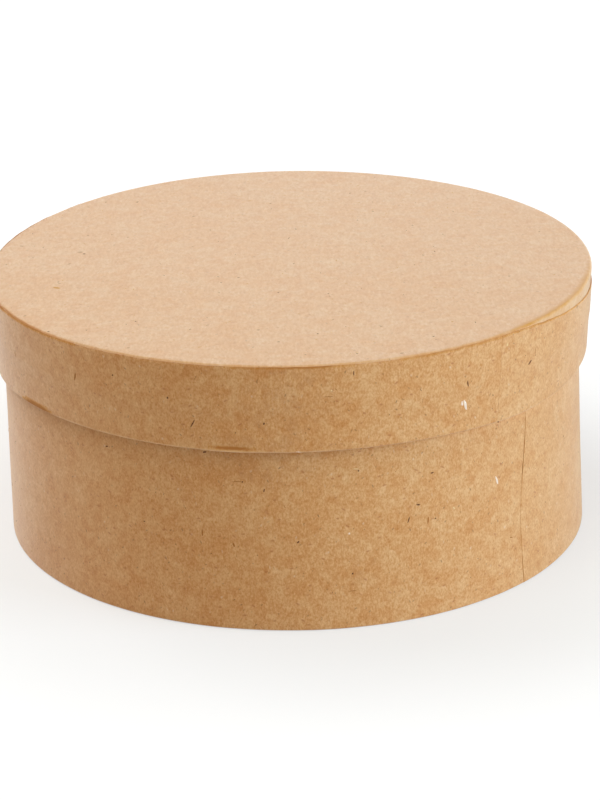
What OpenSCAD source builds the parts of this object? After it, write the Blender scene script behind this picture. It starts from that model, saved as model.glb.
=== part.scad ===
// A round box of rolled board covered with kraft paper, with a lift-off lid.
// The origin is on the floor under the middle of the box, +Z is up and the front is at -Y.
// A seam's place is an azimuth in degrees from the front, growing towards +X.
// A sheet of paper is drawn as the path of its glued face in section, from the axis outwards,
// and given its thickness to the left or to the right of that path.

/* [Box] */
// Diameter of the covered wall
body_d = 150; // [120:1:200]
// Height of the closed box
total_h = 69.5; // [55:0.5:110]

/* [Lid] */
// Depth of the rim, from the top of the closed box
rim_h = 22; // [16:1:28]
// Gap between the rim's lining and the wall, on the radius
side_gap = 0.4; // [0.3:0.05:0.8]
// Gap between the lid's lining and the edge of the wall
seat_gap = 0.1; // [0.05:0.05:0.3]

/* [Board and paper] */
// Thickness of the wall's rolled board
wall_t = 1.5; // [1:0.1:2.5]
// Thickness of the rim's rolled board
rim_t = 1; // [0.8:0.1:2]
// Thickness of the flat board of the base and the lid
panel_t = 1.5; // [1:0.1:2.5]
// Thickness of the kraft paper
paper_t = 0.2; // [0.15:0.05:0.25]
// Radius to which handling rounds a board's edge
edge_r = 0.5; // [0.3:0.1:0.6]
// Gap left between the ends of a rolled board
butt_gap = 0.3; // [0.1:0.1:1]

/* [Paper work] */
// Width of a plain margin turned round an edge
hem_w = 10; // [7:1:12]
// Width of a notched margin turned on to a panel
tab_w = 6; // [4:0.5:8]
// Width of the notched margins under the base and down the rim
wide_tab_w = 12; // [9:1:14]
// Number of tabs round a notched margin
tab_count = 36; // [24:1:48]
// Width of a notch at the paper's edge
notch_w = 1.2; // [0.6:0.1:2]
// How far a cover or lining disc stays inside the edge it lies on
reveal = 2.5; // [1.5:0.5:4]
// Overlap where a strip comes round to its own start
lap_w = 10; // [6:1:14]
// Azimuth of the wall's seam
wall_seam = 49; // [0:1:359]
// Azimuth of the rim's seam
rim_seam = 40; // [0:1:359]
// Azimuth of the seam in the wall's lining
wall_lining_seam = 206; // [0:1:359]
// Azimuth of the seam in the rim's lining
rim_lining_seam = 246; // [0:1:359]
// Azimuth at which the ends of the wall's board meet
wall_butt = 185; // [0:1:359]
// Azimuth at which the ends of the rim's board meet
rim_butt = 160; // [0:1:359]
// How far the hand-cut edge at the wall's seam wanders to each side
seam_wander = 0.9; // [0:0.1:1.2]
// Azimuth at which the rim strip's upper edge runs lowest
dip_azimuth = 100; // [0:1:359]
// How far below the top the strip's edge is there
dip_depth = 4.6; // [1:0.1:6]
// Slope at which the strip's edge runs down to it
dip_slope = 7.9; // [4:0.1:12]

/* [Hidden] */
$fn = 180;
kraft = "#c99b63";
kraft_inside = "#d3a974";
greyboard = "#9b9184";

// Steps in a rounded fold, shared by the board and the paper round it
bend_steps = 4;
// Length over which a sheet climbs on to the edge of another
climb = 1.5;
// How far a cutter reaches past what it cuts
over = 1;
// Length of one wave of the hand-cut seam, and the height of one of its crests
seam_wave = 50;
seam_crest = 44;

// Radii of the box, from the outside in
body_r = body_d / 2;
wall_out = body_r - paper_t;
wall_in = wall_out - wall_t;
wall_hem_in = wall_in - paper_t;

// Radii of the lid, from the inside out
rim_hem_in = body_r + side_gap + paper_t;
rim_in = rim_hem_in + paper_t;
rim_out = rim_in + rim_t;
cover_r = rim_out + paper_t;
lid_r = cover_r + paper_t;

// Heights of the box's boards and margins, from the floor up
base_z = 2 * paper_t;
floor_z = base_z + panel_t;
lid_top = total_h - paper_t;
lid_under = lid_top - panel_t;
wall_top = lid_under - 2 * paper_t - seat_gap - paper_t;
wall_hem_z = wall_top + paper_t - hem_w;

// Heights of the lid's boards and margins
rim_foot = total_h - rim_h + paper_t;
cover_edge = total_h - wide_tab_w;
rim_hem_z = rim_foot - paper_t + hem_w;
strip_top = lid_top - edge_r;

// Points round a fold of radius r about c, between two angles
function bend(c, r, from, to) =
    [for (k = [0:bend_steps]) let (a = from + (to - from) * k / bend_steps) c + r * [cos(a), sin(a)]];

// The unit vector to the left of a step from a to b
function left_of(a, b) = [a.y - b.y, b.x - a.x] / norm(b - a);

// The path moved sideways by t, to its left where t is positive, with mitred corners
function shifted(path, t) =
    let (last = len(path) - 1)
    [for (i = [0:last])
        let (before = left_of(path[max(i - 1, 0)], path[max(i, 1)]),
             after = left_of(path[min(i, last - 1)], path[min(i + 1, last)]))
        path[i] + t * (before + after) / (1 + before * after)];

function backwards(path) = [for (i = [len(path) - 1:-1:0]) path[i]];

function after_first(path) = [for (i = [1:len(path) - 1]) path[i]];

function before_last(path) = [for (i = [0:len(path) - 2]) path[i]];

// The section of a sheet between two shifts of its path
module sheet(path, near, far) {
    polygon(concat(shifted(path, near), backwards(shifted(path, far))));
}

// A sheet taken all the way round, with its thickness to the left (1) or the right (-1) of its path
module turned(path, side) {
    rotate_extrude() sheet(path, 0, side * paper_t);
}

// Turns +X to an azimuth
module face(azimuth) {
    rotate([0, 0, azimuth - 90]) children();
}

// The second ply where a strip overlaps its own start, from its cut edge at the seam
module lap(path, side, seam, early = 0) {
    degrees_per_mm = 180 / PI / body_r;
    face(seam)
        rotate([0, 0, -early * degrees_per_mm])
        rotate_extrude(angle = (early + lap_w) * degrees_per_mm)
        sheet(path, side * paper_t / 2, side * 2 * paper_t);
}

// The lap's side of a cut edge that wanders as it was cut by hand
module wandering_cut(seam) {
    step = seam_wave / 12;
    cut = [for (z = [-step:step:total_h + step]) [seam_wander * cos(360 * (z - seam_crest) / seam_wave), z]];
    face(seam)
        rotate([90, 0, 90])
        linear_extrude(2 * body_r)
        polygon(concat(cut, [[2 * lap_w, total_h + step], [2 * lap_w, -step]]));
}

// A slim wedge from the tip of a notch at x = tip, through the paper's edge at x = edge
module notch(tip, edge) {
    open = notch_w / 2 * (1 + over / (tip - edge));
    polygon([[tip, 0], [edge - over, open], [edge - over, -open]]);
}

// Wedges that cut a margin into tabs where it lies on a panel, between two heights
module panel_notches(tip, edge, low, high) {
    for (i = [0:tab_count - 1])
        face((i + 0.5) * 360 / tab_count)
            translate([0, 0, low])
            linear_extrude(high - low)
            notch(tip, edge);
}

// The same where the margin lies round the rim
module rim_notches(tip, edge) {
    for (i = [0:tab_count - 1])
        face((i + 0.5) * 360 / tab_count)
            translate([rim_in, 0, 0])
            rotate([0, -90, 0])
            mirror([0, 0, 1])
            linear_extrude(lid_r)
            notch(tip, edge);
}

// The slit where the ends of a rolled board meet, at the back
module butt_joint(azimuth) {
    face(azimuth) translate([0, -butt_gap / 2, -over]) cube([lid_r + over, butt_gap, total_h + 2 * over]);
}

// Box

module wall_board() {
    color(greyboard) difference() {
        rotate_extrude() polygon(concat(
            [[wall_in, base_z], [wall_out, base_z]],
            bend([wall_out - edge_r, wall_top - edge_r], edge_r, 0, 90),
            bend([wall_in + edge_r, wall_top - edge_r], edge_r, 90, 180)));
        butt_joint(wall_butt);
    }
}

module base_board() {
    color(greyboard) translate([0, 0, base_z]) cylinder(r = wall_in, h = panel_t);
}

// Under the base, up the wall, over its edge and down inside
wall_wrap_path = concat(
    [[body_r - wide_tab_w, base_z], [wall_out, base_z]],
    bend([wall_out - edge_r, wall_top - edge_r], edge_r, 0, 90),
    bend([wall_in + edge_r, wall_top - edge_r], edge_r, 90, 180),
    [[wall_in, wall_hem_z]]);

module wall_wrap() {
    color(kraft) {
        difference() {
            turned(wall_wrap_path, -1);
            panel_notches(wall_out - paper_t, body_r - wide_tab_w, -over, base_z);
        }
        intersection() {
            lap([[wall_out, base_z], [wall_out, wall_top - edge_r]], -1, wall_seam, seam_wander + over);
            wandering_cut(wall_seam);
        }
    }
}

module base_cover() {
    hem_edge = body_r - wide_tab_w;
    color(kraft) turned([[0, base_z], [hem_edge - climb, base_z],
                         [hem_edge, base_z - paper_t], [body_r - reveal, base_z - paper_t]], -1);
}

// Across the floor's edge, up the wall and over the wrap's margin
wall_lining_path = [[wall_in - tab_w, floor_z], [wall_in, floor_z], [wall_in, wall_hem_z - climb],
                    [wall_hem_in, wall_hem_z], [wall_hem_in, wall_top - reveal]];

module wall_lining() {
    color(kraft_inside) {
        difference() {
            turned(wall_lining_path, 1);
            panel_notches(wall_in - 2 * paper_t, wall_in - tab_w, floor_z - over, floor_z + over);
        }
        lap(after_first(wall_lining_path), 1, wall_lining_seam);
    }
}

module floor_lining() {
    hem_edge = wall_in - tab_w;
    color(kraft_inside) turned([[0, floor_z], [hem_edge - climb, floor_z],
                                [hem_edge, floor_z + paper_t],
                                [wall_hem_in - paper_t, floor_z + paper_t]], 1);
}

// Lid

module rim_board() {
    color(greyboard) difference() {
        translate([0, 0, rim_foot]) difference() {
            cylinder(r = rim_out, h = lid_under - rim_foot);
            translate([0, 0, -over]) cylinder(r = rim_in, h = total_h);
        }
        butt_joint(rim_butt);
    }
}

module lid_board() {
    color(greyboard) rotate_extrude() polygon(concat(
        [[0, lid_under], [rim_out, lid_under]],
        bend([rim_out - edge_r, lid_top - edge_r], edge_r, 0, 90),
        [[0, lid_top]]));
}

// Across the top, round the shoulder and down the rim
lid_cover_path = concat(
    [[0, lid_top]],
    bend([rim_out - edge_r, lid_top - edge_r], edge_r, 90, 0),
    [[rim_out, cover_edge]]);

module lid_cover() {
    color(kraft) difference() {
        turned(lid_cover_path, 1);
        rim_notches(total_h - dip_depth, cover_edge);
    }
}

// Down the cover's margin, down the rim, under its edge and up inside
rim_wrap_path = [[cover_r, strip_top], [cover_r, cover_edge], [rim_out, cover_edge - climb],
                 [rim_out, rim_foot], [rim_in, rim_foot], [rim_in, rim_hem_z]];

module rim_wrap() {
    color(kraft) difference() {
        union() {
            turned(rim_wrap_path, 1);
            lap(before_last(before_last(rim_wrap_path)), 1, rim_seam);
        }
        face(dip_azimuth)
            translate([lid_r, 0, total_h - dip_depth])
            rotate([0, dip_slope, 0])
            translate([-2 * lid_r, -lid_r - over, 0])
            cube([2 * lid_r + dip_depth, 2 * (lid_r + over), total_h]);
    }
}

// Across the lid's underside, down the rim and over the wrap's margin
rim_lining_path = [[rim_in - tab_w, lid_under], [rim_in, lid_under], [rim_in, rim_hem_z + climb],
                   [rim_hem_in, rim_hem_z], [rim_hem_in, rim_foot - paper_t + reveal]];

module rim_lining() {
    color(kraft_inside) {
        difference() {
            turned(rim_lining_path, -1);
            panel_notches(rim_in - 2 * paper_t, rim_in - tab_w, lid_under - over, lid_under + over);
        }
        lap(after_first(rim_lining_path), -1, rim_lining_seam);
    }
}

module lid_lining() {
    hem_edge = rim_in - tab_w;
    color(kraft_inside) turned([[0, lid_under], [hem_edge - climb, lid_under],
                                [hem_edge, lid_under - paper_t],
                                [rim_hem_in - paper_t, lid_under - paper_t]], -1);
}

wall_board();
base_board();
wall_wrap();
base_cover();
wall_lining();
floor_lining();
rim_board();
lid_board();
lid_cover();
rim_wrap();
rim_lining();
lid_lining();
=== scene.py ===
"""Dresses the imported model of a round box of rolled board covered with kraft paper.

Each sheet of paper is made as a fine closed mesh in the place of its plain node, with the
small faults of hand work, and the boards under the paper are made again to the same shape.
"""

import logging
import math
import random
from dataclasses import dataclass, field, replace
from enum import Enum
from typing import Callable, Sequence

import bmesh
import bpy
import numpy as np
from mathutils import Matrix, Vector, noise


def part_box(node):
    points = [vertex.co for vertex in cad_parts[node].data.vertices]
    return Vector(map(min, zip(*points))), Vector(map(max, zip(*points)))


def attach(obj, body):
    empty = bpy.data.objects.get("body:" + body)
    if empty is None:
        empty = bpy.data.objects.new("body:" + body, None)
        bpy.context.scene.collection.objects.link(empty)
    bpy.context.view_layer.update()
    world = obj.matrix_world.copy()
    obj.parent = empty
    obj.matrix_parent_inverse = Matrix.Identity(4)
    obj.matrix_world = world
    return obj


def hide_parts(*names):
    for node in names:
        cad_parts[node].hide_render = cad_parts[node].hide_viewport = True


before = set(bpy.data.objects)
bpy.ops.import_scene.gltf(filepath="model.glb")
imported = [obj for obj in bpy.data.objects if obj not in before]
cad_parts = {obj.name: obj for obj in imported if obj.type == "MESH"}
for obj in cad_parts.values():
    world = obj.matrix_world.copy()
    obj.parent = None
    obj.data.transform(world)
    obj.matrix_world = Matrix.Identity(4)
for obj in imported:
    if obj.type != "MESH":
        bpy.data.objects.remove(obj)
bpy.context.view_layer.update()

log = logging.getLogger("kraft_box")

MM = 0.001
TURN = 2 * math.pi
Colour = tuple[float, float, float, float]
Corner = tuple[float, float, float]


def linear(code: str) -> Colour:
    """Turns a written colour into the one that a shader takes.

    Args:
        code: An sRGB colour such as "#c99b63".

    Returns:
        The linear red, green, blue and alpha.
    """
    parts = [int(code[i:i + 2], 16) / 255 for i in (1, 3, 5)]
    return tuple(p / 12.92 if p <= 0.04045 else ((p + 0.055) / 1.055) ** 2.4 for p in parts) + (1.0,)


def smooth(low: float, high: float, value: np.ndarray) -> np.ndarray:
    """Rises smoothly from 0 at low to 1 at high."""
    t = np.clip((value - low) / (high - low), 0, 1)
    return t * t * (3 - 2 * t)


def bump_at(value: np.ndarray, place: float, width: float) -> np.ndarray:
    """A soft peak of height 1 at a place, with the given half width."""
    return np.exp(-(((value - place) / width) ** 2))


def degrees_apart(azimuth: np.ndarray, place: float) -> np.ndarray:
    """Signed angle in degrees from a place given in degrees to azimuths in radians."""
    return (np.degrees(azimuth) - place + 180) % 360 - 180


def ripple(points: np.ndarray, size: float, seed: int) -> np.ndarray:
    """Smooth noise on points in space.

    Args:
        points: Places in metres, one row each.
        size: Size of one ripple in metres.
        seed: Which of the endless patterns to read.

    Returns:
        One value a point, from about -1 to 1.
    """
    shift = Vector((seed * 17.3, seed * 7.1, seed * 29.9))
    return np.array([noise.noise(Vector(p) / size + shift) for p in points])


@dataclass(frozen=True)
class Outline:
    """How a hand-made ring departs from its true circle at one height."""

    z: float
    grow: float
    waves: tuple[tuple[int, float, float], ...]

    def shift(self, azimuth: np.ndarray) -> np.ndarray:
        """The change of radius at each azimuth, in metres."""
        waves = (c * np.cos(k * azimuth) + s * np.sin(k * azimuth) for k, c, s in self.waves)
        return (self.grow + sum(waves)) * MM


@dataclass(frozen=True)
class HandShape:
    """The shape that hands gave a body between two outlines, one above the other."""

    radius: float
    low: Outline
    high: Outline

    def place(self, azimuth: np.ndarray, r: np.ndarray, z: np.ndarray) -> np.ndarray:
        """Turns places on the true circle into points of the hand-made body.

        Args:
            azimuth: Radians from the front, growing towards +X.
            r: True radii.
            z: Heights.

        Returns:
            Points, one row each.
        """
        t = np.clip((z - self.low.z) / (self.high.z - self.low.z), 0, 1)
        shift = self.low.shift(azimuth) * (1 - t) + self.high.shift(azimuth) * t
        out = r + shift * r / self.radius
        return np.stack([out * np.sin(azimuth), -out * np.cos(azimuth), z], -1)


@dataclass(frozen=True)
class Sizes:
    """Sizes of the boards and papers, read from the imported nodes."""

    paper: float
    wall_out: float
    wall_in: float
    wall_top: float
    base_z: float
    floor_z: float
    lining_top: float
    cover_disc: float
    rim_in: float
    rim_out: float
    rim_foot: float
    rim_hem_in: float
    lid_under: float
    lid_top: float
    cover_edge: float

    @classmethod
    def read(cls) -> "Sizes":
        """Reads the sizes from the boxes of the nodes."""
        low = {name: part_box(name)[0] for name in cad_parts}
        high = {name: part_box(name)[1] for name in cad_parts}
        paper = high["wall_wrap"].x - high["wall_board"].x
        return cls(
            paper=paper,
            wall_out=high["wall_board"].x,
            wall_in=high["base_board"].x,
            wall_top=high["wall_board"].z,
            base_z=low["base_board"].z,
            floor_z=high["base_board"].z,
            lining_top=high["wall_lining"].z,
            cover_disc=high["base_cover"].x,
            rim_in=high["rim_lining"].x,
            rim_out=high["rim_board"].x,
            rim_foot=low["rim_board"].z,
            rim_hem_in=high["lid_lining"].x + paper,
            lid_under=low["lid_board"].z,
            lid_top=high["lid_board"].z,
            cover_edge=low["lid_cover"].z,
        )


class Body(Enum):
    """The two bodies that the pieces ride on."""

    BOX = "box"
    LID = "lid"


class Slot(Enum):
    """The record's material slots."""

    WRAP = "kraft_wrap"
    PANEL = "kraft_panel"
    LINING = "kraft_lining"
    BOARD = "greyboard"


def run(corners: Sequence[Corner], step: float, bend_steps: int = 6) -> np.ndarray:
    """Points along straight runs joined by round bends.

    Args:
        corners: Radius, height and bend radius of each corner.
        step: Greatest distance between points on a straight run.
        bend_steps: Steps in a bend.

    Returns:
        Radius and height of each point, one row each.
    """
    places = [np.array(c[:2]) for c in corners]
    points = [places[0]]
    for before, here, after, (_, _, bend) in zip(places, places[1:], places[2:], corners[1:-1]):
        came, goes = (here - before), (after - here)
        came, goes = came / np.hypot(*came), goes / np.hypot(*goes)
        turn = math.atan2(came[0] * goes[1] - came[1] * goes[0], came @ goes)
        if bend <= 0 or abs(turn) < 1e-3:
            points.append(here)
            continue
        start = here - came * bend * math.tan(abs(turn) / 2)
        side = np.array([-came[1], came[0]]) * math.copysign(bend, turn)
        for k in range(bend_steps + 1):
            a = turn * k / bend_steps
            spun = np.array([[math.cos(a), -math.sin(a)], [math.sin(a), math.cos(a)]]) @ -side
            points.append(start + side + spun)
    points.append(places[-1])
    fine = [points[0]]
    for a, b in zip(points, points[1:]):
        count = max(1, math.ceil(np.hypot(*(b - a)) / step - 1e-6))
        fine += [a + (b - a) * k / count for k in range(1, count + 1)]
    return np.array(fine)


@dataclass
class Section:
    """The closed section of a sheet: its face, then its glued back, in order.

    Each station has a radius, a height, an outward normal, the length along the sheet, and
    whether it lies on the face (1) or the back (0).
    """

    r: np.ndarray
    z: np.ndarray
    nr: np.ndarray
    nz: np.ndarray
    s: np.ndarray
    face: np.ndarray

    @classmethod
    def of(cls, face: np.ndarray, thickness: float, side: int, s0: float = 0.0,
           coarse: int = 5) -> "Section":
        """Gives a face path its thickness.

        Args:
            face: Radius and height of the points of the face.
            thickness: How thick the sheet is.
            side: 1 where the face looks to the left of its path, -1 to the right.
            s0: Length along the sheet at the first point.
            coarse: One in how many of a straight run's points the back keeps.

        Returns:
            The section.
        """
        step = np.gradient(face, axis=0)
        step /= np.hypot(step[:, 0], step[:, 1])[:, None]
        normal = np.stack([-step[:, 1], step[:, 0]], -1) * side
        s = s0 + np.concatenate([[0], np.cumsum(np.hypot(*np.diff(face, axis=0).T))])
        bent = np.abs(np.gradient(normal[:, 0])) + np.abs(np.gradient(normal[:, 1])) > 1e-3
        kept = [i for i in range(len(face)) if bent[i] or i % coarse == 0 or i == len(face) - 1]
        kept = kept[::-1]
        back = face[kept] - normal[kept] * thickness
        return cls(*(np.concatenate(pair) for pair in (
            (face[:, 0], back[:, 0]), (face[:, 1], back[:, 1]),
            (normal[:, 0], normal[kept, 0]), (normal[:, 1], normal[kept, 1]),
            (s, s[kept]), (np.ones(len(face)), np.zeros(len(kept))))))


class Shells:
    """The vertices and faces of one piece, kept as azimuth, radius and height until shaped."""

    def __init__(self) -> None:
        """Starts with nothing."""
        self.parts: list[dict[str, np.ndarray]] = []
        self.faces: list[tuple[int, ...]] = []
        self.count = 0

    def rows(self, section: Section, azimuths: Sequence[np.ndarray]) -> list[int]:
        """Adds a row of vertices at each station.

        Args:
            section: The stations.
            azimuths: The azimuths of the vertices at each station.

        Returns:
            The number of the first vertex of each row.
        """
        starts = []
        for i, azimuth in enumerate(azimuths):
            n = len(azimuth)
            one = {key: np.full(n, getattr(section, key)[i]) for key in ("r", "z", "nr", "nz", "s", "face")}
            one["a"] = azimuth
            one["column"] = np.arange(n) / max(n - 1, 1)
            self.parts.append(one)
            starts.append(self.count)
            self.count += n
        return starts

    def strip(self, section: Section, azimuths: np.ndarray) -> None:
        """Adds a strip with two cut ends.

        Args:
            section: Its section.
            azimuths: The azimuth of every vertex, one row a station.
        """
        starts = self.rows(section, azimuths)
        n = azimuths.shape[1]
        for a, b in zip(starts, starts[1:] + starts[:1]):
            self.faces += [(a + j, a + j + 1, b + j + 1, b + j) for j in range(n - 1)]
        self.faces.append(tuple(starts[::-1]))
        self.faces.append(tuple(a + n - 1 for a in starts))

    def disc(self, section: Section, columns: int, finest: float) -> None:
        """Adds a disc whose section starts and ends on the axis.

        Args:
            section: Its section.
            columns: Vertices round its edge.
            finest: Spacing below which a ring keeps only every second vertex.
        """
        counts = []
        for r in section.r:
            n = columns
            while r > 0 and n > 45 and TURN * r / n < finest:
                n //= 2
            counts.append(n if r > 1e-9 else 1)
        starts = self.rows(section, [np.arange(n) * TURN / n for n in counts])
        for (a, n), (b, m) in zip(zip(starts, counts), zip(starts[1:], counts[1:])):
            self.faces += ring_faces(a, n, b, m)


def ring_faces(a: int, n: int, b: int, m: int) -> list[tuple[int, ...]]:
    """Faces between two rings that have as many vertices, or one twice the other's, or one.

    Args:
        a: First vertex of the one ring.
        n: Its count.
        b: First vertex of the other.
        m: Its count.

    Returns:
        The faces.
    """
    if n == m:
        return [(a + j, a + (j + 1) % n, b + (j + 1) % n, b + j) for j in range(n)]
    if n == 1:
        return [(a, b + (j + 1) % m, b + j) for j in range(m)]
    if m == 1:
        return [(a + j, a + (j + 1) % n, b) for j in range(n)]
    if m < n:
        return [tuple(reversed(f)) for f in ring_faces(b, m, a, n)]
    faces = []
    for j in range(n):
        here, after, far = b + 2 * j, b + 2 * j + 1, b + (2 * j + 2) % m
        faces += [(a + j, after, here), (a + j, a + (j + 1) % n, after), (a + (j + 1) % n, far, after)]
    return faces


Field = Callable[[dict[str, np.ndarray]], np.ndarray]


def nothing(v: dict[str, np.ndarray]) -> np.ndarray:
    """No wear anywhere."""
    return np.zeros(len(v["a"]))


@dataclass
class Skin:
    """What turns the shells of a piece into its mesh.

    Attributes:
        shape: The hand-made shape that the piece follows.
        seed: Which noise its unevenness reads.
        uneven: Size and height of each scale of unevenness, in metres.
        lift: How far each vertex stands off along its normal, such as where a ply laps another.
        trim: New heights, such as where a strip's edge was cut unevenly.
        stain_and_shade: Brown wear, and painted shade on the box's wall and the lid's rim, from 0 to 1.
        rub_and_highlight: Rubbed wear, and the painted highlight along the lid rim's lower fold, from 0 to 1.
        flat: Whether the paper's grain runs straight across, as on a disc cut from a sheet.
    """

    shape: HandShape
    seed: int
    uneven: tuple[tuple[float, float], ...] = ()
    lift: Field = nothing
    trim: Field | None = None
    stain_and_shade: Field = nothing
    rub_and_highlight: Field = nothing
    flat: bool = False

    def relief(self, v: dict[str, np.ndarray]) -> np.ndarray:
        """The unevenness of the face at each vertex, in metres."""
        at = np.stack([v["r"] * np.sin(v["a"]), -v["r"] * np.cos(v["a"]), v["z"]], -1)
        total = sum(ripple(at, size, self.seed + i) * height for i, (size, height) in enumerate(self.uneven))
        return total * v["face"] if self.uneven else np.zeros(len(at))

    def points(self, v: dict[str, np.ndarray]) -> np.ndarray:
        """The final place of each vertex."""
        z = self.trim(v) if self.trim else v["z"]
        off = self.lift(v) + self.relief(v)
        return self.shape.place(v["a"], v["r"] + v["nr"] * off, z + v["nz"] * off)

    def grain(self, v: dict[str, np.ndarray]) -> np.ndarray:
        """Where each vertex lies on the flat sheet, which the pattern of the paper follows."""
        if self.flat:
            return np.stack([v["s"] * np.sin(v["a"]), -v["s"] * np.cos(v["a"]), v["face"] * 0 + self.seed], -1)
        return np.stack([v["a"] * self.shape.radius, v["s"], v["face"] * 0 + self.seed], -1)


def make_mesh(name: str, shells: Shells, skin: Skin) -> bpy.types.Object:
    """Makes a piece from its shells.

    Args:
        name: The piece's name.
        shells: Its vertices and faces.
        skin: What shapes them.

    Returns:
        The object, smooth apart from its cut edges.
    """
    v = {key: np.concatenate([p[key] for p in shells.parts]) for key in shells.parts[0]}
    mesh = bpy.data.meshes.new(name)
    mesh.from_pydata(skin.points(v).tolist(), [], shells.faces)
    for key, values, kind in (("sheet", skin.grain(v), "FLOAT_VECTOR"),
                              ("stain_and_shade", np.clip(skin.stain_and_shade(v), 0, 1), "FLOAT"),
                              ("rub_and_highlight", np.clip(skin.rub_and_highlight(v), 0, 1), "FLOAT")):
        layer = mesh.attributes.new(key, kind, "POINT")
        layer.data.foreach_set("vector" if kind == "FLOAT_VECTOR" else "value", values.astype(np.float32).ravel())
    return finished(mesh, name)


def finished(mesh: bpy.types.Mesh, name: str) -> bpy.types.Object:
    """Puts a mesh into the scene with its faces outward and its cut edges sharp."""
    work = bmesh.new()
    work.from_mesh(mesh)
    bmesh.ops.recalc_face_normals(work, faces=work.faces)
    work.to_mesh(mesh)
    work.free()
    mesh.shade_smooth()
    mesh.set_sharp_from_angle(angle=math.radians(50))
    piece = bpy.data.objects.new(name, mesh)
    bpy.context.scene.collection.objects.link(piece)
    return piece


class Recipe:
    """The nodes of one material, with short calls for the kinds that paper needs."""

    def __init__(self, name: str) -> None:
        """Starts a material that holds only its shader and output."""
        self.material = bpy.data.materials.new(name)
        self.material.use_nodes = True
        self.tree = self.material.node_tree
        self.shader = self.tree.nodes["Principled BSDF"]

    def node(self, kind: str, sockets: dict[str | int, object] | None = None, **settings: object) -> bpy.types.Node:
        """Adds a node.

        Args:
            kind: Blender's name for it.
            sockets: What goes into its sockets, as values or as other nodes' outputs.
            **settings: Its own settings.

        Returns:
            The node.
        """
        made = self.tree.nodes.new(kind)
        for key, value in settings.items():
            setattr(made, key, value)
        for key, value in (sockets or {}).items():
            if isinstance(value, bpy.types.NodeSocket):
                self.tree.links.new(value, made.inputs[key])
            else:
                made.inputs[key].default_value = value
        return made

    def sum(self, *terms: object) -> bpy.types.NodeSocket:
        """Adds numbers."""
        total = terms[0]
        for term in terms[1:]:
            total = self.node("ShaderNodeMath", {0: total, 1: term}, operation="ADD").outputs[0]
        return total

    def times(self, a: object, b: object) -> bpy.types.NodeSocket:
        """Multiplies two numbers."""
        return self.node("ShaderNodeMath", {0: a, 1: b}, operation="MULTIPLY").outputs[0]

    def read(self, name: str, vector: bool = False) -> bpy.types.NodeSocket:
        """Reads one of the mesh's own layers."""
        made = self.node("ShaderNodeAttribute", attribute_name=name)
        return made.outputs["Vector" if vector else "Fac"]

    def stretched(self, where: object, scale: tuple[float, float, float]) -> bpy.types.NodeSocket:
        """Scales a place, so that what is drawn there is longer where the scale is small."""
        return self.node("ShaderNodeVectorMath", {0: where, 1: scale}, operation="MULTIPLY").outputs[0]

    def turned(self, where: object, angle: float) -> bpy.types.NodeSocket:
        """Turns a place in the plane of the sheet."""
        return self.node("ShaderNodeVectorRotate", {"Vector": where, "Angle": angle},
                         rotation_type="Z_AXIS").outputs[0]

    def cloud(self, where: object, size: float, detail: float = 2.0, warp: float = 0.0,
              rough: float = 0.5) -> bpy.types.NodeSocket:
        """Noise about 0, with features of the given size in metres."""
        made = self.node("ShaderNodeTexNoise", {"Vector": where, "Scale": 1 / size, "Detail": detail,
                                                "Roughness": rough, "Distortion": warp})
        return self.sum(made.outputs[0], -0.5)

    def between(self, value: object, low: float, high: float, to_low: float = 0.0,
                to_high: float = 1.0) -> bpy.types.NodeSocket:
        """Maps a range smoothly on to another."""
        made = self.node("ShaderNodeMapRange", {0: value, 1: low, 2: high, 3: to_low, 4: to_high},
                         interpolation_type="SMOOTHSTEP")
        return made.outputs[0]

    def specks(self, where: object, size: float, share: float, length: float, angle: float,
               width: float) -> bpy.types.NodeSocket:
        """Small long specks, one in some cells of a random pattern.

        Args:
            where: The place on the sheet.
            size: Size of a cell in metres.
            share: Share of the cells that hold a speck.
            length: How many times a speck is longer than it is wide.
            angle: The way it lies.
            width: A speck's half width as a share of the cell.

        Returns:
            Its strength, from 0 to 1.
        """
        lying = self.stretched(self.turned(where, angle), (1.0, 1 / length, 1.0))
        cell = self.node("ShaderNodeTexVoronoi", {"Vector": lying, "Scale": 1 / size, "Randomness": 1.0},
                         voronoi_dimensions="2D")
        chosen = self.between(self.node("ShaderNodeSeparateColor", {0: cell.outputs["Color"]}).outputs[0],
                              1 - share, 1.0, 0.25, 1.0)
        picked = self.node("ShaderNodeMath", {
            0: self.node("ShaderNodeSeparateColor", {0: cell.outputs["Color"]}).outputs[0], 1: 1 - share},
            operation="GREATER_THAN").outputs[0]
        shape = self.between(cell.outputs["Distance"], width, width * 0.4)
        return self.times(self.times(shape, picked), chosen)

    def mixed(self, share: object, a: object, b: object, way: str = "MIX") -> bpy.types.NodeSocket:
        """Mixes two colours."""
        made = self.node("ShaderNodeMix", data_type="RGBA", blend_type=way)
        for socket, value in ((made.inputs[0], share), (made.inputs[6], a), (made.inputs[7], b)):
            if isinstance(value, bpy.types.NodeSocket):
                self.tree.links.new(value, socket)
            else:
                socket.default_value = value
        return made.outputs[2]

    def into(self, socket: str, value: object) -> None:
        """Sends a value or an output to the shader."""
        if isinstance(value, bpy.types.NodeSocket):
            self.tree.links.new(value, self.shader.inputs[socket])
        else:
            self.shader.inputs[socket].default_value = value


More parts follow.
